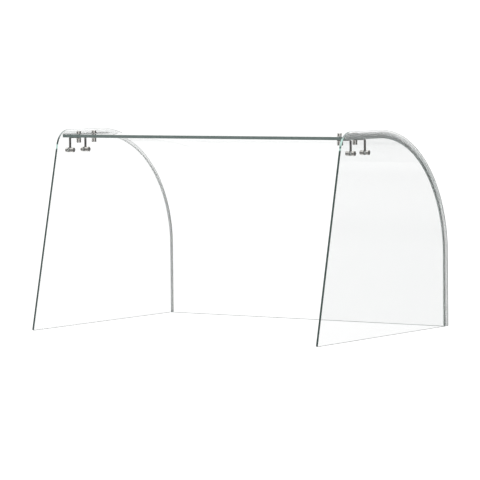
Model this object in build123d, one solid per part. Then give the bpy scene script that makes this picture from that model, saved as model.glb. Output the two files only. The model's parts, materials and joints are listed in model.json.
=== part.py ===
from build123d import *
import os
from math import radians, tan

# A free-standing curved glass enclosure. Two flat side panes hold one bent pane between them: the
# bent pane is the flat roof, one large bend and the upright back. Four small L brackets near the
# front join the roof to the side panes, each with two cap screws and two barrel nuts.
#
# Millimetres. +X is to the right, +Y is to the back and +Z is up. The origin is on the ground, in
# the middle of the enclosure's width and depth.

# Whole enclosure
WIDTH = 900.0  # over the outer faces of the side panes
DEPTH = 635.0  # of a side pane at the ground
HEIGHT = 527.0  # of a side pane
FRONT_Y = -DEPTH / 2
BACK_Y = DEPTH / 2

# Glass
SIDE_GLASS = 6.0
BENT_GLASS = 8.0
ARRIS = 0.6  # small ground chamfer along every glass edge
FRONT_LEAN = 13.2  # degrees that the side panes' front edge leans back
FRONT_CORNER_R = 50.0
GROUND_CORNER_R = 3.0
SIDE_BEND_R = 335.0  # the side panes' large curve
BENT_OUTER_R = 322.0  # the bent pane's large bend
TOP_MARGIN = 13.0  # how far the side panes stand proud above the roof
BACK_MARGIN = 10.0  # and behind the upright back
ROOF_SETBACK = 134.0  # from the side panes' front corner on the ground back to the roof's edge

INNER_X = WIDTH / 2 - SIDE_GLASS  # inner face of a side pane
SIDE_BEND_Y = BACK_Y - SIDE_BEND_R  # axis of the side panes' curve
SIDE_BEND_Z = HEIGHT - SIDE_BEND_R
BENT_INNER_R = BENT_OUTER_R - BENT_GLASS
ROOF_TOP_Z = HEIGHT - TOP_MARGIN
BEND_Y = BACK_Y - BACK_MARGIN - BENT_OUTER_R  # axis of the bent pane's bend
BEND_Z = ROOF_TOP_Z - BENT_OUTER_R
ROOF_UNDER_Z = ROOF_TOP_Z - BENT_GLASS
ROOF_FRONT_Y = FRONT_Y + ROOF_SETBACK

# Clear seals: a strip in each joint between the panes, and a bead along the outside of it
SEAL_GAP = 1.0  # between the bent pane's end and the side pane
SEAL_INSET = 1.2  # from the edges of the bent pane's end to the strip
BEAD_UP_PANE = 9.0  # the bead's leg on the side pane
BEAD_ALONG_ROOF = 6.0  # and its leg on the bent pane
BEAD_START = 12.0  # from the roof's front edge back to the bead's end
BENT_END_X = INNER_X - SEAL_GAP  # end face of the bent pane

# Brackets, bent from flat bar, and where they sit
BAR_WIDTH = 8.0
BAR_THICK = 2.0
BAR_OUTER_BEND_R = 3.0
BAR_END_R = 2.0
BAR_END_MARGIN = 5.8  # from a screw's axis to the end of the bar
BRACKET_SETBACK = 31.0  # from the roof's front edge to the front brackets
BRACKET_SPACING = 67.0
ROOF_SCREW_INSET = 31.0  # from a side pane's inner face to the roof screws
SIDE_SCREW_DROP = 34.0  # from the roof's underside to the side screws

# Screws, nuts and the soft pieces that keep steel off the glass
CAP_D = 12.5
CAP_H = 7.5
CAP_ROUND = 0.8
STUD_D = 5.0
STUD_TIP = 0.5
THREAD_PITCH = 0.8
THREAD_TURNS = 10  # turns of a nut, from tight to the end of its stud
ENGAGEMENT = THREAD_PITCH * THREAD_TURNS
GLASS_HOLE_D = 8.0
SLEEVE_D = 7.9
SLEEVE_BORE_D = 5.2
OUTER_GASKET_D = 12.0
OUTER_GASKET_T = 1.0
INNER_GASKET_D = 11.0
INNER_GASKET_T = 0.5
BAR_HOLE_D = 5.5
WASHER_D = 12.0
WASHER_BORE_D = 5.3
WASHER_T = 0.8
NUT_D = 12.5
NUT_H = 11.0
NUT_ROUND = 0.6
NUT_BORE_D = 5.1
NUT_BORE_DEPTH = 9.4
TOMMY_HOLE_D = 2.0  # blind hole in the nut's side, to tighten it with a pin
TOMMY_HOLE_DEPTH = 2.2
TOMMY_HOLE_FROM_END = 3.6
STEEL_EDGE = 0.3  # small chamfer on the faces that clamp
DRILL_PAST = 1.0  # how far a drilled hole is cut past the piece

SIDES = {"left": -1, "right": 1}
ROWS = {
    "front": ROOF_FRONT_Y + BRACKET_SETBACK,
    "rear": ROOF_FRONT_Y + BRACKET_SETBACK + BRACKET_SPACING,
}


def rod(diameter, start, end):
    """A round bar along Z from start to end."""
    return Pos(0, 0, (start + end) / 2) * Cylinder(diameter / 2, end - start)


def ring(diameter, bore, start, end):
    """A round bar along Z with a hole right through it."""
    return rod(diameter, start, end) - rod(bore, start, end)


def between_x(sketch, start, end):
    """A solid from a sketch of (y, z) points, between two X positions."""
    return extrude(Plane.YZ.offset(start) * sketch, amount=end - start)


def nearest(shapes, *point):
    """The vertex or edge that is nearest to a point."""
    return shapes.sort_by_distance(point)[0]


# Where the screws go


def screw_places(side, y):
    """The plane of each of a bracket's two screws, and the thickness of the glass there.

    A plane's origin is on the outer face of the glass, and its +Z is the way the nut comes off."""
    roof_x = side * (INNER_X - ROOF_SCREW_INSET)
    wall_z = ROOF_UNDER_Z - SIDE_SCREW_DROP
    to_back = (0, 1, 0)
    return {
        "roof": (Plane((roof_x, y, ROOF_TOP_Z), to_back, (0, 0, -1)), BENT_GLASS),
        "side": (Plane((side * WIDTH / 2, y, wall_z), to_back, (-side, 0, 0)), SIDE_GLASS),
    }


def drilled(pane, side, which):
    """A pane with the holes for the roof or side screws of one side's two brackets."""
    for y in ROWS.values():
        place, glass = screw_places(side, y)[which]
        pane -= place * rod(GLASS_HOLE_D, -DRILL_PAST, glass + DRILL_PAST)
    return pane


def clamp_height(glass):
    """From the outer face of the glass to the washer under the nut."""
    return glass + INNER_GASKET_T + BAR_THICK


# Glass panes and their seals


def side_pane(side):
    """A flat side pane. Its front edge leans back, and one large curve joins its top and back."""
    top_front_y = FRONT_Y + HEIGHT * tan(radians(FRONT_LEAN))
    straight = Polyline(
        (BACK_Y, SIDE_BEND_Z),
        (BACK_Y, 0),
        (FRONT_Y, 0),
        (top_front_y, HEIGHT),
        (SIDE_BEND_Y, HEIGHT),
    )
    bend = JernArc((SIDE_BEND_Y, HEIGHT), (1, 0), SIDE_BEND_R, -90)
    outline = make_face(straight + bend)
    outline = fillet(nearest(outline.vertices(), top_front_y, HEIGHT), FRONT_CORNER_R)
    for ground_y in (FRONT_Y, BACK_Y):
        outline = fillet(nearest(outline.vertices(), ground_y, 0), GROUND_CORNER_R)
    start, end = sorted((side * INNER_X, side * WIDTH / 2))
    pane = between_x(outline, start, end)
    faces = pane.faces().filter_by(Axis.X)
    pane = chamfer(faces.edges(), ARRIS)
    return drilled(pane, side, "side")


def bent_section(inset, bottom_z):
    """The bent pane's section from roof to ground, drawn in by an inset on all but the bottom."""
    outer_r = BENT_OUTER_R - inset
    inner_r = BENT_INNER_R + inset
    front_y = ROOF_FRONT_Y + inset
    outer = Polyline((front_y, BEND_Z + outer_r), (BEND_Y, BEND_Z + outer_r))
    outer += JernArc((BEND_Y, BEND_Z + outer_r), (1, 0), outer_r, -90)
    foot = Polyline(
        (BEND_Y + outer_r, BEND_Z),
        (BEND_Y + outer_r, bottom_z),
        (BEND_Y + inner_r, bottom_z),
        (BEND_Y + inner_r, BEND_Z),
    )
    inner = JernArc((BEND_Y + inner_r, BEND_Z), (0, 1), inner_r, 90)
    front = Polyline(
        (BEND_Y, BEND_Z + inner_r), (front_y, BEND_Z + inner_r), (front_y, BEND_Z + outer_r)
    )
    return make_face(outer + foot + inner + front)


def bent_pane():
    """The one bent pane that is the roof and the back, drilled for the four roof screws."""
    pane = between_x(bent_section(0, 0), -BENT_END_X, BENT_END_X)
    ends = pane.faces().filter_by(Axis.X)
    front = pane.faces().sort_by(Axis.Y)[0]
    foot = pane.faces().sort_by(Axis.Z)[0]
    pane = chamfer(ends.edges() + front.edges() + foot.edges(), ARRIS)
    for side in SIDES.values():
        pane = drilled(pane, side, "roof")
    return pane


def seal_bead(side):
    """A bead of sealant in the outside corner between the bent pane and a side pane."""
    start_y = ROOF_FRONT_Y + BEAD_START
    root_z = ROOF_TOP_Z - SEAL_INSET - SEAL_GAP  # where the bead joins the strip
    corners = [
        (INNER_X, root_z),
        (INNER_X, ROOF_TOP_Z + BEAD_UP_PANE),
        (INNER_X - BEAD_ALONG_ROOF, ROOF_TOP_Z),
        (BENT_END_X, ROOF_TOP_Z),
        (BENT_END_X, root_z),
    ]
    section = make_face(Polyline(*[(side * x, z) for x, z in corners], close=True))
    route = Line((start_y, ROOF_TOP_Z), (BEND_Y, ROOF_TOP_Z))
    route += JernArc((BEND_Y, ROOF_TOP_Z), (1, 0), BENT_OUTER_R, -90)
    route += Line((BEND_Y + BENT_OUTER_R, BEND_Z), (BEND_Y + BENT_OUTER_R, SEAL_INSET))
    return sweep(Plane.XZ.offset(-start_y) * section, Plane.YZ * route)


def end_seal(side):
    """The clear seal between the bent pane's end and a side pane: the strip and the bead."""
    start, end = sorted((side * BENT_END_X, side * INNER_X))
    strip = between_x(bent_section(SEAL_INSET, SEAL_INSET), start, end)
    return strip + seal_bead(side)


# Bracket


def bracket(side, y):
    """An L of flat bar: one leg under the roof, the other down the inside of a side pane."""
    corner_x = INNER_X - INNER_GASKET_T
    corner_z = ROOF_UNDER_Z - INNER_GASKET_T
    tip_x = INNER_X - ROOF_SCREW_INSET - BAR_END_MARGIN
    tip_z = ROOF_UNDER_Z - SIDE_SCREW_DROP - BAR_END_MARGIN
    inside_x = corner_x - BAR_THICK
    inside_z = corner_z - BAR_THICK
    corners = [
        (tip_x, corner_z),
        (corner_x, corner_z),
        (corner_x, tip_z),
        (inside_x, tip_z),
        (inside_x, inside_z),
        (tip_x, inside_z),
    ]
    profile = make_face(Polyline(*[(side * x, z) for x, z in corners], close=True))
    profile = fillet(nearest(profile.vertices(), side * corner_x, corner_z), BAR_OUTER_BEND_R)
    inner_bend = BAR_OUTER_BEND_R - BAR_THICK
    profile = fillet(nearest(profile.vertices(), side * inside_x, inside_z), inner_bend)
    bar = extrude(Plane.XZ.offset(-y) * profile, amount=BAR_WIDTH / 2, both=True)
    ends = bar.edges().filter_by(Axis.Z).group_by(SortBy.LENGTH)[0]
    ends += bar.edges().filter_by(Axis.X).group_by(SortBy.LENGTH)[0]
    bar = fillet(ends, BAR_END_R)
    for place, glass in screw_places(side, y).values():
        bar -= place * rod(BAR_HOLE_D, glass, clamp_height(glass) + DRILL_PAST)
    return bar


# Pieces on a screw's axis. Z = 0 is the outer face of the glass.


def screw(glass):
    """A round cap outside the glass, in one piece with the stud through it."""
    cap = rod(CAP_D, -OUTER_GASKET_T - CAP_H, -OUTER_GASKET_T)
    rims = cap.edges().filter_by(GeomType.CIRCLE).sort_by(Axis.Z)
    cap = fillet(rims[0], CAP_ROUND)
    rims = cap.edges().filter_by(GeomType.CIRCLE).sort_by(Axis.Z)
    cap = chamfer(rims[-1], STEEL_EDGE)
    stud = rod(STUD_D, -OUTER_GASKET_T, clamp_height(glass) + WASHER_T + ENGAGEMENT)
    tip = stud.edges().filter_by(GeomType.CIRCLE).sort_by(Axis.Z)[-1]
    return cap + chamfer(tip, STUD_TIP)


def outer_gasket(glass):
    """The clear gasket under the cap."""
    return ring(OUTER_GASKET_D, SLEEVE_BORE_D, -OUTER_GASKET_T, 0)


def sleeve(glass):
    """The clear sleeve round the stud in the glass."""
    return ring(SLEEVE_D, SLEEVE_BORE_D, 0, glass)


def inner_gasket(glass):
    """The clear gasket between the glass and the bracket."""
    return ring(INNER_GASKET_D, SLEEVE_BORE_D, glass, glass + INNER_GASKET_T)


def nut_washer(glass):
    """The thin steel washer that a nut presses on the bracket."""
    start = clamp_height(glass)
    return ring(WASHER_D, WASHER_BORE_D, start, start + WASHER_T)


def nut(glass):
    """A barrel nut: closed at its free end, with a tommy-pin hole in its side."""
    start = clamp_height(glass) + WASHER_T
    end = start + NUT_H
    body = rod(NUT_D, start, end)
    rims = body.edges().filter_by(GeomType.CIRCLE).sort_by(Axis.Z)
    body = fillet(rims[-1], NUT_ROUND)
    rims = body.edges().filter_by(GeomType.CIRCLE).sort_by(Axis.Z)
    body = chamfer(rims[0], STEEL_EDGE)
    body -= rod(NUT_BORE_D, start, start + NUT_BORE_DEPTH)
    pin = Plane((NUT_D / 2, 0, end - TOMMY_HOLE_FROM_END), (0, 0, 1), (1, 0, 0))
    return body - pin * rod(TOMMY_HOLE_D, -TOMMY_HOLE_DEPTH, DRILL_PAST)


AXIS_PIECES = {
    "screw": screw,
    "outer_gasket": outer_gasket,
    "sleeve": sleeve,
    "inner_gasket": inner_gasket,
    "nut_washer": nut_washer,
    "nut": nut,
}


def enclosure():
    """Every piece by its node's name."""
    nodes = {"bent_pane": bent_pane()}
    for side_name, side in SIDES.items():
        nodes[f"{side_name}_side_pane"] = side_pane(side)
        nodes[f"{side_name}_end_seal"] = end_seal(side)
        for row_name, y in ROWS.items():
            corner = f"{side_name}_{row_name}"
            nodes[f"{corner}_bracket"] = bracket(side, y)
            for which, (place, glass) in screw_places(side, y).items():
                for piece_name, make_piece in AXIS_PIECES.items():
                    nodes[f"{corner}_{which}_{piece_name}"] = place * make_piece(glass)
    return nodes


os.makedirs("parts", exist_ok=True)
for node_name, solid in enclosure().items():
    export_step(solid, f"parts/{node_name}.step")
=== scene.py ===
"""The looks of a free-standing curved glass cold frame, built on its CAD frame.

Every CAD node is replaced by a finely divided mesh of the same size: the panes with their ground
arrises and drilled holes, the sealant, the bent flat bars, and the turned screws and nuts with
their threads. Metres. +X is to the right, +Y is to the back and +Z is up, as in the CAD."""

import json
from math import acos, ceil, cos, floor, pi, radians, sin, tan

import bmesh
import bpy
from mathutils import Matrix, Vector
from mathutils.geometry import delaunay_2d_cdt


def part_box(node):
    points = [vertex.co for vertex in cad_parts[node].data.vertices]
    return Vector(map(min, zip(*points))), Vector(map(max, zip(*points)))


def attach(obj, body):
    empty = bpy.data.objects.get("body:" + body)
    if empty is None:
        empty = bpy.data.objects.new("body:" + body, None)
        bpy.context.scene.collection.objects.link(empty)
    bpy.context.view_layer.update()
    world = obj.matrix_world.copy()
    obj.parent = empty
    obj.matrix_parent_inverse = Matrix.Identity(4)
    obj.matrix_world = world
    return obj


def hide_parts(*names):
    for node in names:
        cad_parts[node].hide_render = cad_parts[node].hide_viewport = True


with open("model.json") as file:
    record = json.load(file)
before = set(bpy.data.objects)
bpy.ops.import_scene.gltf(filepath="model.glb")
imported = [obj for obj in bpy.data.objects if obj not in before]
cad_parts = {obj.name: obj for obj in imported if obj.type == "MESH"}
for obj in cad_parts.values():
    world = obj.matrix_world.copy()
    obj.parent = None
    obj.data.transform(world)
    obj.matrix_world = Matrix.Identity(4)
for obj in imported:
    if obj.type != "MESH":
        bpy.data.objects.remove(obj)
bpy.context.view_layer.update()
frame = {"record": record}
SCENE = bpy.context.scene
BODIES = frame["record"]["behaviour"]["bodies"]

# The panes' places, from the CAD
PANE_LOW, PANE_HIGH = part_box("right_side_pane")
BENT_LOW, BENT_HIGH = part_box("bent_pane")
INNER_X = PANE_LOW.x  # inner face of a side pane
OUTER_X = PANE_HIGH.x
BACK_Y = PANE_HIGH.y
FRONT_Y = -BACK_Y  # where the side panes' front edge would meet the ground, if unrounded
HEIGHT = PANE_HIGH.z
ROOF_FRONT_Y = BENT_LOW.y
ROOF_TOP_Z = BENT_HIGH.z
BENT_BACK_Y = BENT_HIGH.y
BENT_END_X = BENT_HIGH.x

# Glass, as in the CAD
SIDE_GLASS = OUTER_X - INNER_X
BENT_GLASS = 0.008
ARRIS = 0.0006
FRONT_LEAN = radians(13.2)
FRONT_CORNER_R = 0.050
GROUND_CORNER_R = 0.003
SIDE_BEND_R = 0.335
BENT_OUTER_R = 0.322
GLASS_HOLE_R = 0.004
ROOF_UNDER_Z = ROOF_TOP_Z - BENT_GLASS
ROOF_DEPTH = BENT_BACK_Y - BENT_OUTER_R - ROOF_FRONT_Y  # the flat part of the roof
BEND_LENGTH = BENT_OUTER_R * pi / 2  # along the outer face
BEND_END = ROOF_DEPTH + BEND_LENGTH
BENT_LENGTH = BEND_END + ROOF_TOP_Z - BENT_OUTER_R
BEND_GUARD = 0.002  # narrow flat strip beside the bend, so that the flat glass shades flat

# Sealant
SEAL_GAP = INNER_X - BENT_END_X
SEAL_INSET = 0.0012
SEAL_CLEARANCE = 0.00004  # keeps the sealant's faces off the glass's
BEAD_UP_PANE = 0.009
BEAD_ALONG_ROOF = 0.006
BEAD_FULL = 0.012  # behind the roof's front edge, where the side pane is tall enough
BEAD_START_SHARE = 0.3  # of the full bead, at the roof's front edge
BEAD_HOLLOW = 0.0011  # how far a tooled bead's face is pulled in
BEAD_STEPS = 8

# Brackets
BAR_WIDTH = 0.008
BAR_THICK = 0.002
BAR_OUTER_BEND_R = 0.003
BAR_BEND_GUARD = BAR_THICK / 4
BAR_END_R = 0.002
BAR_END_MARGIN = 0.0058
BAR_HOLE_R = 0.00275
BAR_EDGE = 0.00025
INNER_GASKET_T = 0.0005
SIDE_SCREW_DROP = 0.034

# Screws, nuts and soft rings. Along a screw's axis, Z = 0 is the outer face of the glass.
CAP_R = 0.00625
CAP_H = 0.0075
CAP_ROUND = 0.0008
STUD_R = 0.0025
STUD_TIP = 0.0005
THREAD_PITCH = 0.0008
THREAD_DEPTH = 0.00042
THREAD_STEP = THREAD_PITCH / 8
ENGAGEMENT = 0.008
OUTER_GASKET_R = 0.006
OUTER_GASKET_T = 0.001
SLEEVE_R = 0.00395
SLEEVE_BORE_R = 0.0026
INNER_GASKET_R = 0.0055
WASHER_R = 0.006
WASHER_BORE_R = 0.00265
WASHER_T = 0.0008
NUT_R = 0.00625
NUT_H = 0.011
NUT_ROUND = 0.0006
NUT_BORE_R = 0.00255
NUT_BORE_DEPTH = 0.0094
TOMMY_HOLE_R = 0.001
TOMMY_HOLE_DEPTH = 0.0022
TOMMY_HOLE_FROM_END = 0.0036
STEEL_EDGE = 0.0003
SOFT_EDGE = 0.00015

SIDES = {"left": -1, "right": 1}
ROWS = ("front", "rear")

# How finely shapes are divided
CHORD_ERROR = 0.00001
FINE_CHORD_ERROR = 0.000004
MIN_ARC_STEPS = 3
HOLE_STEPS = 48
DRILL_STEPS = 32
TURNED_STEPS = 56
BAR_BEND_STEPS = 16
SEAL_START_STEP = 0.001
SEAL_STRAIGHT_STEP = 0.02
SEAL_BEND_STEP = 0.006
SHARP_ANGLE = radians(28)
INSIDE_OUTLINE = 1  # the triangulation that keeps to the inside of its outline
POINT_TOLERANCE = 1e-8


# Loops of points


def rounded(corners, error=CHORD_ERROR):
    """A closed loop of points from (u, v, radius) corners, each rounded to its radius."""
    loop = []
    for i, (u, v, radius) in enumerate(corners):
        corner = Vector((u, v))
        if radius == 0:
            loop.append(corner)
            continue
        to_before = (Vector(corners[i - 1][:2]) - corner).normalized()
        to_after = (Vector(corners[(i + 1) % len(corners)][:2]) - corner).normalized()
        half = to_before.angle(to_after) / 2
        centre = corner + (to_before + to_after).normalized() * radius / sin(half)
        spoke = corner + to_before * radius / tan(half) - centre
        turn = pi - 2 * half
        if to_before.cross(to_after) > 0:
            turn = -turn
        steps = max(MIN_ARC_STEPS, ceil(abs(turn) / (2 * acos(1 - error / radius))))
        for step in range(steps + 1):
            loop.append(centre + Matrix.Rotation(turn * step / steps, 2) @ spoke)
    return loop


def inset(loop, distance):
    """An anticlockwise loop drawn in by a distance. A clockwise one is let out."""
    moved = []
    for i, point in enumerate(loop):
        before = (point - loop[i - 1]).normalized()
        after = (loop[(i + 1) % len(loop)] - point).normalized()
        across = Vector((-before.y - after.y, before.x + after.x))
        moved.append(point + across * distance / (1 + before.dot(after)))
    return moved


def hole(u, v, radius):
    """A clockwise circle, which is a hole in an anticlockwise outline."""
    angles = [-2 * pi * step / HOLE_STEPS for step in range(HOLE_STEPS)]
    return [Vector((u + radius * cos(a), v + radius * sin(a))) for a in angles]


def stations(start, end, step):
    """Evenly spaced positions from start to end, no further apart than a step."""
    count = ceil(abs(end - start) / step)
    return [start + (end - start) * i / count for i in range(count + 1)]


def middle(low, high):
    """The point halfway between two corners of a box."""
    return (low + high) / 2


def smoothstep(low, high, value):
    """0 below low and 1 above high, with a smooth rise between."""
    share = min(max((value - low) / (high - low), 0), 1)
    return share * share * (3 - 2 * share)


def fold(lead, outer_radius):
    """A sheet that runs straight, turns through 90 degrees, and runs straight again.

    The result takes the distance along the outer face and the depth below it, and gives how far
    the point is along the first run and how far down the second."""
    arc = outer_radius * pi / 2

    def bent(distance, depth):
        if distance < lead:
            return distance, depth
        if distance < lead + arc:
            angle = (distance - lead) / outer_radius
            radius = outer_radius - depth
            return lead + radius * sin(angle), outer_radius - radius * cos(angle)
        return lead + outer_radius - depth, outer_radius + distance - lead - arc

    return bent


# Solids


def join_rings(bm, first, second, material=0):
    """Faces between two closed rings of vertices. A ring may be one vertex, on the axis."""
    count = max(len(first), len(second))
    if count == 1:
        return
    for i in range(count):
        corners = (
            first[i % len(first)],
            first[(i + 1) % len(first)],
            second[(i + 1) % len(second)],
            second[i % len(second)],
        )
        bm.faces.new(tuple(dict.fromkeys(corners))).material_index = material


def fill(bm, loops, rings, cuts):
    """Triangles across an outline, the first loop, but not across the holes in it."""
    points = [point for loop in loops for point in loop]
    vertices = [vertex for ring in rings for vertex in ring]
    edges = list(cuts)
    start = 0
    for loop in loops:
        edges += [(start + i, start + (i + 1) % len(loop)) for i in range(len(loop))]
        start += len(loop)
    centres = [sum(loop, Vector((0, 0))) / len(loop) for loop in loops[1:]]
    reaches = [(loop[0] - centre).length for loop, centre in zip(loops[1:], centres)]
    found = delaunay_2d_cdt(points, edges, [], INSIDE_OUTLINE, POINT_TOLERANCE)
    _, _, faces, sources, _, _ = found
    for face in faces:
        corners = [sources[i][0] for i in face]
        balance = sum((points[i] for i in corners), Vector((0, 0))) / len(corners)
        if all((balance - c).length > reach for c, reach in zip(centres, reaches)):
            bm.faces.new([vertices[i] for i in corners])


def plate(outline, holes, thickness, ease, place, cuts=(), rim_material=1):
    """A sheet with eased edges and round holes. place(u, v, depth) puts each point in space.

    cuts are pairs of places in the outline, to be joined by an edge so that the sheet can bend."""
    bm = bmesh.new()
    levels = [(ease, 0), (0, ease), (0, thickness - ease), (ease, thickness)]
    faces = {0: [], thickness: []}
    for loop in (outline, *holes):
        rings = []
        for drawn_in, depth in levels:
            moved = inset(loop, drawn_in)
            rings.append([bm.verts.new(place(u, v, depth)) for u, v in moved])
            if depth in faces:
                faces[depth].append((moved, rings[-1]))
        for first, second in zip(rings, rings[1:]):
            join_rings(bm, first, second, rim_material)
    for face in faces.values():
        fill(bm, [loop for loop, _ in face], [ring for _, ring in face], cuts)
    return bm


def strip_outline(half_width, positions, corner_r):
    """A rectangle of (u, v) points that has points at the given v positions on both long sides.

    Returns the outline and the pairs of its points that face each other across it."""
    low, high = positions[0], positions[-1]
    corners = [(half_width, low, corner_r), (half_width, high, corner_r)]
    if corner_r:
        corners += [(0, high, 0), (0, low, 0)]
        half = rounded(corners, FINE_CHORD_ERROR)[:-2]
        steps = len(half) // 2
        half[steps:steps] = [Vector((half_width, v)) for v in positions[1:-1]]
    else:
        half = [Vector((half_width, v)) for v in positions]
        steps = 1
    outline = half + [Vector((-u, v)) for u, v in reversed(half)]
    last = len(outline) - 1
    facing = range(steps, steps + len(positions) - 2)
    return outline, [(i, last - i) for i in facing]


def turned(loop, thread=None):
    """A solid turned about Z, from a closed loop of (radius, z) points.

    thread(angle, radius, z) gives a threaded surface's radius."""
    bm = bmesh.new()
    angles = [2 * pi * step / TURNED_STEPS for step in range(TURNED_STEPS)]
    rings = []
    for radius, z in loop:
        if radius <= 0:
            rings.append([bm.verts.new((0, 0, z))])
            continue
        ring = []
        for angle in angles:
            r = thread(angle, radius, z) if thread else radius
            ring.append(bm.verts.new((r * cos(angle), r * sin(angle), z)))
        rings.append(ring)
    for first, second in zip(rings, rings[1:] + rings[:1]):
        join_rings(bm, first, second)
    return bm


def ring_solid(outer, bore, start, end, edge):
    """A turned ring with rounded rims."""
    corners = [(bore, start, 0), (outer, start, edge), (outer, end, edge), (bore, end, 0)]
    return turned(rounded(corners, FINE_CHORD_ERROR))


def thread_wave(angle, z):
    """How deep the right-hand thread's groove is at a point, from 0 to 1."""
    phase = z / THREAD_PITCH - angle / (2 * pi)
    return 1 - abs(2 * (phase - floor(phase)) - 1)


# Pieces


def mesh_from(bm, name):
    """A mesh with outward normals, smooth but for its sharp edges."""
    bmesh.ops.recalc_face_normals(bm, faces=bm.faces)
    for face in bm.faces:
        face.smooth = True
    for edge in bm.edges:
        edge.smooth = edge.calc_face_angle(0) < SHARP_ANGLE
    mesh = bpy.data.meshes.new(name)
    bm.to_mesh(mesh)
    bm.free()
    return mesh


def add_piece(node, finish, mesh, materials, place=Matrix.Identity(4)):
    """Shows a mesh in place of a CAD node, on the node's body and with the given materials."""
    if not mesh.materials:
        for material in materials:
            mesh.materials.append(material)
    piece = bpy.data.objects.new(f"{node}_{finish}", mesh)
    SCENE.collection.objects.link(piece)
    piece.matrix_world = place
    body = next(b for b, members in BODIES.items() if node in members)
    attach(piece, body)
    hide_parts(node)


# Materials. Colours are linear red, green and blue.


NOISE_SPAN = (0.3, 0.7)  # where most noise lies
GLASS_IOR = 1.5
CLEAR_TINTS = ((0.992, 1.0, 0.998), (0.998, 1.0, 1.0))
FILM_SPAN = (0.45, 0.75)  # the noise where the film on the glass starts and is full
STREAK_GAIN = 1.5  # how much lighter an edge's streaks are than its lighter colour

# The glass's edges keep their deep tint as far as the first length of each pair, and from the second
# carry painted light that makes them paler
DEEP_BEHIND_FRONT = 0.002
PALE_BEHIND_FRONT = 0.009
DEEP_ABOVE_GROUND = 0.001
PALE_ABOVE_GROUND = 0.004
SIDE_EDGE_TINTS = ((0.020, 0.035, 0.031), (0.070, 0.095, 0.088))
# Painted light on the side panes' edges behind the front: as seen outside, and as seen through the
# glass
SIDE_EDGE_PAINTED_LIGHT = (0.30, 0.34, 0.33)
SIDE_EDGE_PAINTED_LIGHT_THROUGH_GLASS = (0.78, 0.82, 0.80)
BENT_EDGE_TINTS = ((0.072, 0.102, 0.095), (0.143, 0.174, 0.166))
# Painted light on the bent pane's edges: at its two ends, and as seen through the glass
BENT_EDGE_PAINTED_LIGHT_AT_END = (0.35, 0.42, 0.40)
BENT_EDGE_PAINTED_LIGHT_THROUGH_GLASS = (0.94, 0.97, 0.96)

# Painted highlights where the side panes' front corners catch light in their edges: x, y, z and reach
PAINTED_HIGHLIGHTS = (
    (-0.447, -0.2041, 0.4824, 0.009),
    (0.447, -0.1970, 0.5010, 0.0165),
    (0.447, -0.2045, 0.4835, 0.005),
)
# The colour of the painted highlights at the front corners
PAINTED_HIGHLIGHT_TINT = (0.46, 0.66, 0.60)

# Each side's sealant: its clarity, its two tints, and its tint where painted shade darkens it most, on
# the bend
SEALANTS = {
    "left": (0.96, (0.96, 0.97, 0.965), (0.99, 0.995, 0.99), (0.98, 0.985, 0.98)),
    "right": (0.65, (0.96, 0.975, 0.97), (0.98, 0.99, 0.985), (0.79, 0.82, 0.81)),
}
# The painted shade on the sealant: x, y and z of its darkest stretch, on the bend, and how far it
# reaches
PAINTED_SHADE_MIDDLE = (0, 0.239, 0.390)  # x, y and z of the dullest stretch, on the bend
PAINTED_SHADE_REACH = 0.15

PLASTIC_TINTS = ((0.86, 0.89, 0.88), (0.93, 0.95, 0.94))
POLISHED_TINTS = ((0.66, 0.64, 0.61), (0.82, 0.80, 0.77))
SATIN_TINTS = ((0.38, 0.37, 0.355), (0.48, 0.47, 0.455))
SATIN_STRETCH = (0.08, 1, 0.08)  # draws the belt's lines out along the bar


def add_node(tree, kind, settings=None, **inputs):
    """A shader node, with its settings and its inputs. An input may be a value or a socket.

    An input called i and a number is the input with that number."""
    node = tree.nodes.new(kind)
    for key, value in (settings or {}).items():
        setattr(node, key, value)
    for key, value in inputs.items():
        socket = node.inputs[int(key[1:]) if key[0] == "i" and key[1:].isdigit() else key]
        if isinstance(value, bpy.types.NodeSocket):
            tree.links.new(value, socket)
        else:
            socket.default_value = value
    return node


def maths(tree, operation, **inputs):
    """A socket with the result of an operation on numbers."""
    return add_node(tree, "ShaderNodeMath", {"operation": operation}, **inputs).outputs[0]


def vector_maths(tree, operation, **inputs):
    """A socket with the number that comes of an operation on vectors."""
    node = add_node(tree, "ShaderNodeVectorMath", {"operation": operation}, **inputs)
    return node.outputs["Value"]


def maximum(tree, *values):
    """A socket with the largest of some values."""
    largest = values[0]
    for value in values[1:]:
        largest = maths(tree, "MAXIMUM", i0=largest, i1=value)
    return largest


def multiply(tree, first, second):
    """A socket with the product of two values."""
    return maths(tree, "MULTIPLY", i0=first, i1=second)


def principled(name, **values):
    """A material with one Principled shader. Gives the material, its tree and the shader."""
    material = bpy.data.materials.new(name)
    material.use_nodes = True
    tree = material.node_tree
    tree.nodes.clear()
    shader = add_node(tree, "ShaderNodeBsdfPrincipled")
    for key, value in values.items():
        shader.inputs[key.replace("_", " ")].default_value = value
    output = add_node(tree, "ShaderNodeOutputMaterial")
    tree.links.new(shader.outputs["BSDF"], output.inputs["Surface"])
    return material, tree, shader


def connect(tree, shader, **sockets):
    """Links sockets to a shader's inputs."""
    for key, socket in sockets.items():
        tree.links.new(socket, shader.inputs[key.replace("_", " ")])


def own_place(tree):
    """A socket with the point in the object's own metres."""
    return add_node(tree, "ShaderNodeTexCoord").outputs["Object"]


def stretched(tree, place, scale):
    """A socket with a point, stretched by a scale."""
    return add_node(tree, "ShaderNodeMapping", Vector=place, Scale=scale).outputs["Vector"]


def coordinate(tree, place, axis):
    """A socket with one coordinate of a point."""
    return add_node(tree, "ShaderNodeSeparateXYZ", Vector=place).outputs[axis]


def noise(tree, vector, scale, detail=3.0, roughness=0.5):
    """A socket with noise from 0 to 1."""
    node = add_node(
        tree, "ShaderNodeTexNoise", Vector=vector, Scale=scale, Detail=detail, Roughness=roughness
    )
    return node.outputs["Fac"]


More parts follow.
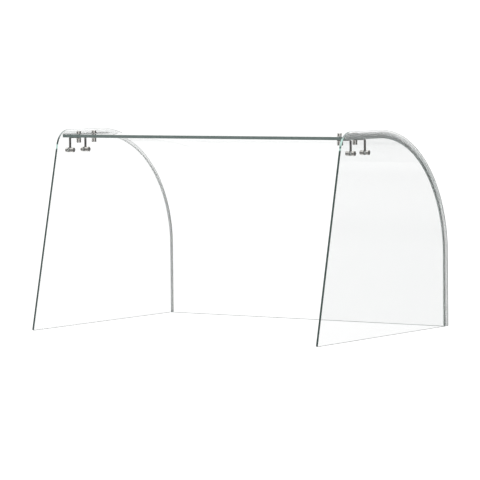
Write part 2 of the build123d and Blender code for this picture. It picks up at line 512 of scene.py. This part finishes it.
def remap(tree, value, low, high, to_low, to_high, smooth=False):
    """A socket with a value's range turned into another range, and held to it."""
    kind = "SMOOTHSTEP" if smooth else "LINEAR"
    node = add_node(tree, "ShaderNodeMapRange", {"interpolation_type": kind}, Value=value)
    for name, number in zip(("From Min", "From Max", "To Min", "To Max"), (low, high, to_low, to_high)):
        node.inputs[name].default_value = number
    return node.outputs["Result"]


def spread(tree, value, low, high):
    """A socket with noise spread over a range."""
    return remap(tree, value, *NOISE_SPAN, low, high)


def blend_colour(tree, share, first, second):
    """A colour socket that goes from the first colour to the second.

    In a Mix node, inputs 6 and 7 and output 2 are the ones for colours."""
    ends = [end if isinstance(end, bpy.types.NodeSocket) else (*end, 1) for end in (first, second)]
    node = add_node(tree, "ShaderNodeMix", {"data_type": "RGBA"}, i0=share, i6=ends[0], i7=ends[1])
    return node.outputs[2]


def add_bump(tree, shader, height, distance):
    """Bump from a height socket."""
    bump = add_node(tree, "ShaderNodeBump", Height=height, Strength=1.0, Distance=distance)
    connect(tree, shader, Normal=bump.outputs["Normal"])


def near_point(tree, place, point, reach):
    """A socket that is 1 within a third of a reach from a point, and 0 beyond the reach."""
    away = vector_maths(tree, "DISTANCE", i0=place, i1=point)
    return remap(tree, away, reach / 3, reach, 1.0, 0.0, smooth=True)


def above_ground(tree, place):
    """A socket that is 0 at the edges that stand on the ground and 1 above them."""
    height = coordinate(tree, place, "Z")
    return remap(tree, height, DEEP_ABOVE_GROUND, PALE_ABOVE_GROUND, 0.0, 1.0)


def inside_glass(tree):
    """A socket that is 1 where an edge is seen through the glass and 0 where it is seen outside."""
    return add_node(tree, "ShaderNodeNewGeometry").outputs["Backfacing"]


def clear_glass():
    """Clean float glass with a trace of green and the faintest film."""
    material, tree, shader = principled("clear_glass", IOR=GLASS_IOR, Transmission_Weight=1.0)
    film = noise(tree, own_place(tree), scale=9.0, detail=5.0)
    colour = blend_colour(tree, film, *CLEAR_TINTS)
    connect(tree, shader, Base_Color=colour, Roughness=remap(tree, film, *FILM_SPAN, 0.0, 0.02))
    return material


def glass_edge(name, low, high):
    """A polished edge, mottled and streaked between two colours.

    Returns what is needed to colour it further: material, tree, shader, the point and colour."""
    material, tree, shader = principled(name, IOR=GLASS_IOR, Specular_IOR_Level=0.4)
    place = own_place(tree)
    mottle = noise(tree, place, scale=55.0, detail=4.0)
    streaks = noise(tree, place, scale=900.0, detail=2.0)
    shade = blend_colour(tree, mottle, low, high)
    streaked = [STREAK_GAIN * part for part in high]
    shade = blend_colour(tree, spread(tree, streaks, 0.0, 0.3), shade, streaked)
    connect(tree, shader, Roughness=spread(tree, streaks, 0.16, 0.30))
    add_bump(tree, shader, streaks, distance=0.00002)
    return material, tree, shader, place, shade


def side_edge():
    """The side panes' edges: deep in front and below, with painted light that makes them paler above
    and behind and palest through the glass, and painted highlights at the front corners.
    """
    material, tree, shader, place, shade = glass_edge("side_edge", *SIDE_EDGE_TINTS)
    to_front = (0, -cos(FRONT_LEAN), sin(FRONT_LEAN))
    ahead = vector_maths(tree, "DOT_PRODUCT", i0=place, i1=to_front)
    front = -FRONT_Y * cos(FRONT_LEAN)
    pale_from, deep_from = front - PALE_BEHIND_FRONT, front - DEEP_BEHIND_FRONT
    behind = remap(tree, ahead, pale_from, deep_from, 1.0, 0.0, smooth=True)
    # Painted light: paler behind the front and above the ground, palest where seen through the glass
    pale = blend_colour(tree, inside_glass(tree), SIDE_EDGE_PAINTED_LIGHT, SIDE_EDGE_PAINTED_LIGHT_THROUGH_GLASS)
    shade = blend_colour(tree, multiply(tree, behind, above_ground(tree, place)), shade, pale)
    # Painted highlights at the front corners
    painted_highlight = maximum(tree, *(near_point(tree, place, (x, y, z), reach) for x, y, z, reach in PAINTED_HIGHLIGHTS))
    connect(tree, shader, Base_Color=blend_colour(tree, painted_highlight, shade, PAINTED_HIGHLIGHT_TINT))
    return material


def bent_edge():
    """The bent pane's edges: green-grey, with painted light that makes them lighter at the pane's two
    ends and pale through the glass.
    """
    material, tree, shader, place, shade = glass_edge("bent_edge", *BENT_EDGE_TINTS)
    across = maths(tree, "ABSOLUTE", i0=coordinate(tree, place, "X"))
    at_end = remap(tree, across, BENT_END_X - 2 * ARRIS, BENT_END_X - ARRIS, 0.0, 1.0)
    # Painted light at the pane's two ends
    shade = blend_colour(tree, at_end, shade, BENT_EDGE_PAINTED_LIGHT_AT_END)
    # Painted light where the edges are seen through the glass
    pale = multiply(tree, inside_glass(tree), above_ground(tree, place))
    connect(tree, shader, Base_Color=blend_colour(tree, pale, shade, BENT_EDGE_PAINTED_LIGHT_THROUGH_GLASS))
    return material


def clear_sealant(side_name):
    """Translucent silicone with small variations in its skin, and a painted shade that darkens it part
    of the way round, on the bend.
    """
    clarity, low, high, painted_shade_tint = SEALANTS[side_name]
    material, tree, shader = principled(f"{side_name}_sealant", IOR=1.41, Transmission_Weight=clarity)
    place = own_place(tree)
    cloud = noise(tree, place, scale=40.0, detail=4.0)
    skin = noise(tree, place, scale=260.0)
    colour = blend_colour(tree, cloud, low, high)
    # Painted shade: darker on the bend
    painted_shade_share = near_point(tree, stretched(tree, place, (0, 1, 1)), PAINTED_SHADE_MIDDLE, PAINTED_SHADE_REACH)
    colour = blend_colour(tree, painted_shade_share, colour, painted_shade_tint)
    connect(tree, shader, Base_Color=colour, Roughness=spread(tree, skin, 0.12, 0.24))
    add_bump(tree, shader, skin, distance=0.00005)
    return material


def clear_plastic():
    """The soft clear rings that keep steel off the glass."""
    material, tree, shader = principled("clear_plastic", IOR=1.45, Transmission_Weight=0.85)
    haze = noise(tree, own_place(tree), scale=700.0)
    colour = blend_colour(tree, haze, *PLASTIC_TINTS)
    connect(tree, shader, Base_Color=colour, Roughness=spread(tree, haze, 0.12, 0.28))
    return material


def turning_marks(tree):
    """A socket with fine rings round the Z axis, as a lathe leaves on faces and sides."""
    place = own_place(tree)
    radius = vector_maths(tree, "LENGTH", i0=stretched(tree, place, (1, 1, 0)))
    total = maths(tree, "ADD", i0=radius, i1=coordinate(tree, place, "Z"))
    one_way = {"noise_dimensions": "1D"}
    rings = add_node(tree, "ShaderNodeTexNoise", one_way, W=total, Scale=6000.0, Detail=2.0)
    return rings.outputs["Fac"]


def polished_steel():
    """Turned and polished stainless steel."""
    material, tree, shader = principled("polished_steel", Metallic=1.0)
    marks = turning_marks(tree)
    patches = noise(tree, own_place(tree), scale=320.0)
    colour = blend_colour(tree, patches, *POLISHED_TINTS)
    connect(tree, shader, Base_Color=colour, Roughness=spread(tree, marks, 0.10, 0.24))
    add_bump(tree, shader, marks, distance=0.000004)
    return material


def satin_steel():
    """Flat bar with the fine lengthwise lines of a belt finish."""
    material, tree, shader = principled("satin_steel", Metallic=1.0)
    place = own_place(tree)
    lines = noise(tree, stretched(tree, place, SATIN_STRETCH), scale=5200.0)
    patches = noise(tree, place, scale=180.0)
    colour = blend_colour(tree, patches, *SATIN_TINTS)
    connect(tree, shader, Base_Color=colour, Roughness=spread(tree, lines, 0.24, 0.42))
    add_bump(tree, shader, lines, distance=0.000006)
    return material


# Glass


def bent_place():
    """Puts a point of the flat sheet on the bent pane: x, distance along it, and depth."""
    bent = fold(ROOF_DEPTH, BENT_OUTER_R)

    def place(x, distance, depth):
        along, down = bent(distance, depth)
        return x, ROOF_FRONT_Y + along, ROOF_TOP_Z - down

    return place


def add_bent_pane(materials):
    """The one pane that is the roof, the bend and the back."""
    step = 2 * acos(1 - CHORD_ERROR / BENT_OUTER_R) * BENT_OUTER_R
    positions = [0, ROOF_DEPTH - BEND_GUARD]
    positions += stations(ROOF_DEPTH, BEND_END, step)
    positions += [BEND_END + BEND_GUARD, BENT_LENGTH]
    outline, cuts = strip_outline(BENT_END_X, positions, 0)
    holes = []
    for side_name in SIDES:
        for row in ROWS:
            centre = middle(*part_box(f"{side_name}_{row}_roof_sleeve"))
            holes.append(hole(centre.x, centre.y - ROOF_FRONT_Y, GLASS_HOLE_R))
    bm = plate(outline, holes, BENT_GLASS, ARRIS, bent_place(), cuts)
    add_piece("bent_pane", "glass", mesh_from(bm, "bent_pane_glass"), materials)


def add_side_pane(side_name, side, materials):
    """A flat side pane with its leaning front edge and one large curve."""
    top_front_y = FRONT_Y + HEIGHT * tan(FRONT_LEAN)
    corners = [
        (FRONT_Y, 0, GROUND_CORNER_R),
        (BACK_Y, 0, GROUND_CORNER_R),
        (BACK_Y, HEIGHT, SIDE_BEND_R),
        (top_front_y, HEIGHT, FRONT_CORNER_R),
    ]
    holes = []
    for row in ROWS:
        centre = middle(*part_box(f"{side_name}_{row}_side_sleeve"))
        holes.append(hole(centre.y, centre.z, GLASS_HOLE_R))

    def place(y, z, depth):
        return side * (OUTER_X - depth), y, z

    bm = plate(rounded(corners), holes, SIDE_GLASS, ARRIS, place)
    node = f"{side_name}_side_pane"
    add_piece(node, "glass", mesh_from(bm, f"{node}_glass"), materials)


# Sealant


def seal_section(bead):
    """The sealant's section as (distance from the side pane, height over the bent pane).

    bead is the share of the full bead that lies over the strip in the gap."""
    top = BEAD_UP_PANE * bead
    foot = near = SEAL_CLEARANCE
    far = SEAL_GAP - SEAL_CLEARANCE
    reach = far + (BEAD_ALONG_ROOF - far) * bead
    bottom = SEAL_INSET - BENT_GLASS
    section = [(near, bottom), (near, top)]
    for step in range(1, BEAD_STEPS):
        share = step / BEAD_STEPS
        hollow = BEAD_HOLLOW * bead * sin(pi * share)
        section.append((near + (reach - near) * share - hollow, top + (foot - top) * share - hollow))
    section += [(reach, foot), (far, foot), (far, bottom)]
    return [(max(x, near), height) for x, height in section]


def add_end_seal(side_name, side, material):
    """The clear strip in the joint beside the bent pane, and the bead along its outside."""
    place = bent_place()
    positions = stations(SEAL_INSET, BEAD_FULL, SEAL_START_STEP)
    positions += stations(BEAD_FULL, ROOF_DEPTH, SEAL_STRAIGHT_STEP)[1:]
    positions += stations(ROOF_DEPTH, BEND_END, SEAL_BEND_STEP)[1:]
    positions += stations(BEND_END, BENT_LENGTH - SEAL_INSET, SEAL_STRAIGHT_STEP)[1:]
    bm = bmesh.new()
    rings = []
    for distance in positions:
        grown = min((distance - SEAL_INSET) / (BEAD_FULL - SEAL_INSET), 1)
        bead = BEAD_START_SHARE + (1 - BEAD_START_SHARE) * grown
        points = [place(side * (INNER_X - x), distance, -height) for x, height in seal_section(bead)]
        rings.append([bm.verts.new(point) for point in points])
    for first, second in zip(rings, rings[1:]):
        join_rings(bm, first, second)
    bm.faces.new(rings[0])
    bm.faces.new(rings[-1])
    node = f"{side_name}_end_seal"
    add_piece(node, "silicone", mesh_from(bm, f"{node}_silicone"), [material])


# Brackets


def add_bracket(corner, side, material):
    """An L of flat bar with eased edges, one leg under the roof and one down the side pane."""
    node = f"{corner}_bracket"
    low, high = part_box(node)
    middle_y = (low.y + high.y) / 2
    corner_x = INNER_X - INNER_GASKET_T
    corner_z = ROOF_UNDER_Z - INNER_GASKET_T
    tip_x = min(abs(low.x), abs(high.x))
    lead = corner_x - BAR_OUTER_BEND_R - tip_x
    bend = BAR_OUTER_BEND_R * pi / 2
    length = lead + bend + corner_z - low.z - BAR_OUTER_BEND_R
    positions = [0, lead - BAR_BEND_GUARD, *stations(lead, lead + bend, bend / BAR_BEND_STEPS)]
    positions += [lead + bend + BAR_BEND_GUARD, length]
    outline, cuts = strip_outline(BAR_WIDTH / 2, positions, BAR_END_R)
    side_hole = lead + bend + SIDE_SCREW_DROP - INNER_GASKET_T - BAR_OUTER_BEND_R
    holes = [hole(0, distance, BAR_HOLE_R) for distance in (BAR_END_MARGIN, side_hole)]
    bent = fold(lead, BAR_OUTER_BEND_R)

    def place(across, distance, depth):
        along, down = bent(distance, depth)
        return side * (tip_x + along), middle_y + across, corner_z - down

    bm = plate(outline, holes, BAR_THICK, BAR_EDGE, place, cuts, rim_material=0)
    add_piece(node, "steel", mesh_from(bm, f"{node}_steel"), [material])


# Screws, nuts and the rings on them


def clamp_height(glass):
    """From the outer face of the glass to the washer under the nut."""
    return glass + INNER_GASKET_T + BAR_THICK


def screw_solid(glass):
    """A round cap and, in one piece with it, the stud with its thread."""
    tip = clamp_height(glass) + WASHER_T + ENGAGEMENT
    thread_start = clamp_height(glass) - THREAD_PITCH
    thread_end = tip - STUD_TIP
    seat = -OUTER_GASKET_T
    corners = [
        (0, seat - CAP_H, 0),
        (CAP_R, seat - CAP_H, CAP_ROUND),
        (CAP_R, seat - STEEL_EDGE, 0),
        (CAP_R - STEEL_EDGE, seat, 0),
        (STUD_R, seat, 0),
    ]
    corners += [(STUD_R, z, 0) for z in stations(thread_start, thread_end, THREAD_STEP)]
    corners += [(STUD_R - STUD_TIP, tip, 0), (0, tip, 0)]

    def thread(angle, radius, z):
        if radius > STUD_R or z < thread_start:
            return radius
        fade = smoothstep(thread_start, thread_start + THREAD_PITCH, z)
        fade *= 1 - smoothstep(thread_end - THREAD_PITCH, thread_end, z)
        return radius - THREAD_DEPTH * fade * thread_wave(angle, z)

    return turned(rounded(corners, FINE_CHORD_ERROR), thread)


def nut_solid(glass):
    """A barrel nut: closed at its free end, threaded inside."""
    start = clamp_height(glass) + WASHER_T
    end = start + NUT_H
    bore_end = start + NUT_BORE_DEPTH
    countersink = THREAD_DEPTH
    corners = [(0, bore_end, 0)]
    corners += [(NUT_BORE_R, z, 0) for z in stations(bore_end, start + countersink, THREAD_STEP)]
    corners += [
        (NUT_BORE_R + countersink, start, 0),
        (NUT_R - STEEL_EDGE, start, 0),
        (NUT_R, start + STEEL_EDGE, 0),
        (NUT_R, end, NUT_ROUND),
        (0, end, 0),
    ]

    def thread(angle, radius, z):
        if radius > NUT_BORE_R:
            return radius
        fade = smoothstep(start + countersink, start + countersink + THREAD_PITCH, z)
        fade *= 1 - smoothstep(bore_end - THREAD_PITCH, bore_end, z)
        return radius + THREAD_DEPTH * fade * (1 - thread_wave(angle, z))

    return turned(rounded(corners, FINE_CHORD_ERROR), thread)


def drill_tommy_hole(mesh, glass):
    """Cuts the blind hole for a tommy pin in the side of a nut."""
    z = clamp_height(glass) + WASHER_T + NUT_H - TOMMY_HOLE_FROM_END
    drill_length = 2 * TOMMY_HOLE_DEPTH
    bm = bmesh.new()
    bmesh.ops.create_cone(
        bm,
        cap_ends=True,
        segments=DRILL_STEPS,
        radius1=TOMMY_HOLE_R,
        radius2=TOMMY_HOLE_R,
        depth=drill_length,
        matrix=Matrix.Translation((NUT_R, 0, z)) @ Matrix.Rotation(pi / 2, 4, "Y"),
    )
    drill_mesh = bpy.data.meshes.new("drill")
    bm.to_mesh(drill_mesh)
    bm.free()
    drill = bpy.data.objects.new("drill", drill_mesh)
    blank = bpy.data.objects.new("blank", mesh)
    for obj in (drill, blank):
        SCENE.collection.objects.link(obj)
    cut = blank.modifiers.new("cut", "BOOLEAN")
    cut.object = drill
    cut.operation = "DIFFERENCE"
    cut.solver = "EXACT"
    depsgraph = bpy.context.evaluated_depsgraph_get()
    cut_mesh = bpy.data.meshes.new_from_object(blank.evaluated_get(depsgraph))
    for obj in (drill, blank):
        bpy.data.objects.remove(obj)
    for old in (drill_mesh, mesh):
        bpy.data.meshes.remove(old)
    bm = bmesh.new()
    bm.from_mesh(cut_mesh)
    bpy.data.meshes.remove(cut_mesh)
    return mesh_from(bm, "nut")


def axis_meshes(glass):
    """The meshes of the pieces on a screw through a thickness of glass."""
    clamp = clamp_height(glass)
    rings = {
        "outer_gasket": (OUTER_GASKET_R, SLEEVE_BORE_R, -OUTER_GASKET_T, 0, SOFT_EDGE),
        "sleeve": (SLEEVE_R, SLEEVE_BORE_R, 0, glass, SOFT_EDGE),
        "inner_gasket": (INNER_GASKET_R, SLEEVE_BORE_R, glass, glass + INNER_GASKET_T, SOFT_EDGE),
        "nut_washer": (WASHER_R, WASHER_BORE_R, clamp, clamp + WASHER_T, STEEL_EDGE / 2),
    }
    meshes = {name: mesh_from(ring_solid(*sizes), name) for name, sizes in rings.items()}
    meshes["screw"] = mesh_from(screw_solid(glass), "screw")
    meshes["nut"] = drill_tommy_hole(mesh_from(nut_solid(glass), "nut_blank"), glass)
    return meshes


def screw_place(corner, which, side):
    """Where a screw's axis is: the origin on the glass's outer face, +Z the way the nut leaves."""
    centre = middle(*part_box(f"{corner}_{which}_sleeve"))
    if which == "roof":
        origin = Vector((centre.x, centre.y, ROOF_TOP_Z))
        off = Vector((0, 0, -1))
    else:
        origin = Vector((side * OUTER_X, centre.y, centre.z))
        off = Vector((-side, 0, 0))
    to_back = Vector((0, 1, 0))
    turn = Matrix((to_back, off.cross(to_back), off)).transposed()
    return Matrix.Translation(origin) @ turn.to_4x4()


def add_fittings(steel, plastic, satin):
    """The eight screws with everything that is clamped on them."""
    finishes = {
        "screw": ("steel", steel),
        "nut": ("steel", steel),
        "nut_washer": ("steel", satin),
        "outer_gasket": ("plastic", plastic),
        "sleeve": ("plastic", plastic),
        "inner_gasket": ("plastic", plastic),
    }
    meshes = {"roof": axis_meshes(BENT_GLASS), "side": axis_meshes(SIDE_GLASS)}
    for side_name, side in SIDES.items():
        for row in ROWS:
            corner = f"{side_name}_{row}"
            for which, pieces in meshes.items():
                place = screw_place(corner, which, side)
                for piece, (finish, material) in finishes.items():
                    add_piece(f"{corner}_{which}_{piece}", finish, pieces[piece], [material], place)


# Studio


WHITE = 1.15  # what the camera sees of the backdrop and the floor
BASE_REFLECTION = 0.11  # what surfaces mirror of the unlit studio
# Soft boxes that surfaces mirror: direction, angles where full and where gone, and brightness
SOFT_BOXES = (
    ((-0.567, 0.822, 0.10), 20, 44, 1.1),
    ((-1.0, -0.25, 0.25), 14, 30, 1.2),
    ((0.70, -0.70, 0.15), 14, 34, 1.0),
    ((0.0, 0.0, 1.0), 38, 66, 1.45),
    ((0.0, 0.0, -1.0), 40, 78, 0.5),
    ((-0.56, 0.40, -0.72), 14, 36, 0.9),
    ((-0.56, -0.80, 0.15), 12, 36, 0.25),
)


HALF_A_BOUNCE = 0.5  # tells no bounces from one or more


def mirrored_studio(tree):
    """A socket with the brightness of the studio in each direction, as surfaces mirror it."""
    direction = add_node(tree, "ShaderNodeTexCoord").outputs["Generated"]
    lights = [BASE_REFLECTION]
    for box_direction, full, gone, brightness in SOFT_BOXES:
        towards = Vector(box_direction).normalized()
        facing = vector_maths(tree, "DOT_PRODUCT", i0=direction, i1=towards)
        edges = (cos(radians(gone)), cos(radians(full)))
        lights.append(remap(tree, facing, *edges, 0.0, brightness, smooth=True))
    return maximum(tree, *lights)


def mirrored_share(tree):
    """A socket that is 1 for a view that a surface has mirrored, and 0 for others.

    Light that reaches a matt surface by way of a mirroring one counts as the others do."""
    path = add_node(tree, "ShaderNodeLightPath")
    mirrored = maths(tree, "GREATER_THAN", i0=path.outputs["Glossy Depth"], i1=HALF_A_BOUNCE)
    direct = maths(tree, "LESS_THAN", i0=path.outputs["Diffuse Depth"], i1=HALF_A_BOUNCE)
    return multiply(tree, mirrored, direct)


def set_world():
    """A white studio. Mirrored rays see its soft boxes and its darker parts instead."""
    world = bpy.data.worlds.new("studio")
    SCENE.world = world
    world.use_nodes = True
    tree = world.node_tree
    tree.nodes.clear()
    strength = add_node(
        tree,
        "ShaderNodeMix",
        {"data_type": "FLOAT"},
        i0=mirrored_share(tree),
        i2=WHITE,
        i3=mirrored_studio(tree),
    )
    light = add_node(
        tree, "ShaderNodeBackground", Strength=strength.outputs[0], Color=(1, 1, 1, 1)
    )
    output = add_node(tree, "ShaderNodeOutputWorld")
    tree.links.new(light.outputs[0], output.inputs["Surface"])
    world.cycles.sampling_method = "NONE"


FLOOR_HALF = 12.0
FLOOR_SEGMENTS = 8
FLOOR_DROP = 0.00005  # below the panes' feet, so that no faces lie in one plane


def add_floor():
    """A plain white floor, lit to the same white as the backdrop, and not seen in mirrored rays."""
    bm = bmesh.new()
    bmesh.ops.create_grid(
        bm, x_segments=FLOOR_SEGMENTS, y_segments=FLOOR_SEGMENTS, size=FLOOR_HALF
    )
    mesh = bpy.data.meshes.new("floor")
    bm.to_mesh(mesh)
    bm.free()
    material = bpy.data.materials.new("floor_white")
    material.use_nodes = True
    tree = material.node_tree
    tree.nodes.clear()
    light = add_node(tree, "ShaderNodeEmission", Strength=WHITE)
    clear = add_node(tree, "ShaderNodeBsdfTransparent")
    mixed = add_node(tree, "ShaderNodeMixShader", Fac=mirrored_share(tree))
    tree.links.new(light.outputs[0], mixed.inputs[1])
    tree.links.new(clear.outputs[0], mixed.inputs[2])
    output = add_node(tree, "ShaderNodeOutputMaterial")
    tree.links.new(mixed.outputs[0], output.inputs["Surface"])
    mesh.materials.append(material)
    ground = bpy.data.objects.new("floor", mesh)
    ground.location.z = -FLOOR_DROP
    SCENE.collection.objects.link(ground)


LENS_MM = 217.5
SENSOR_MM = 36.0
CAMERA_PLACE = Vector((4.3372, -6.2871, 0.7195))
CAMERA_AZIMUTH = radians(34.59)
CAMERA_ELEVATION = radians(3.64)
CAMERA_ROLL = radians(-0.572)
CAMERA_REACH = 100.0


def add_camera():
    """A long lens from the front right, a little above the roof."""
    data = bpy.data.cameras.new("camera")
    data.lens = LENS_MM
    data.sensor_width = SENSOR_MM
    data.clip_end = CAMERA_REACH
    camera = bpy.data.objects.new("camera", data)
    SCENE.collection.objects.link(camera)
    aim = Matrix.Rotation(CAMERA_AZIMUTH, 4, "Z")
    tilt = Matrix.Rotation(pi / 2 - CAMERA_ELEVATION, 4, "X")
    roll = Matrix.Rotation(CAMERA_ROLL, 4, "Z")
    camera.matrix_world = Matrix.Translation(CAMERA_PLACE) @ aim @ tilt @ roll
    SCENE.camera = camera


BOUNCES = {
    "max_bounces": 40,
    "transmission_bounces": 40,
    "glossy_bounces": 16,
    "diffuse_bounces": 4,
    "transparent_max_bounces": 16,
}


def set_rendering():
    """Plain display colours, and enough bounces for light to cross all the glass."""
    SCENE.view_settings.view_transform = "Standard"
    for kind, count in BOUNCES.items():
        setattr(SCENE.cycles, kind, count)


def add_object():
    """Every piece of the cold frame."""
    glass = clear_glass()
    side_rim = side_edge()
    satin = satin_steel()
    add_bent_pane([glass, bent_edge()])
    for side_name, side in SIDES.items():
        add_side_pane(side_name, side, [glass, side_rim])
        add_end_seal(side_name, side, clear_sealant(side_name))
        for row in ROWS:
            add_bracket(f"{side_name}_{row}", side, satin)
    add_fittings(polished_steel(), clear_plastic(), satin)


add_object()
add_floor()
set_world()
add_camera()
set_rendering()
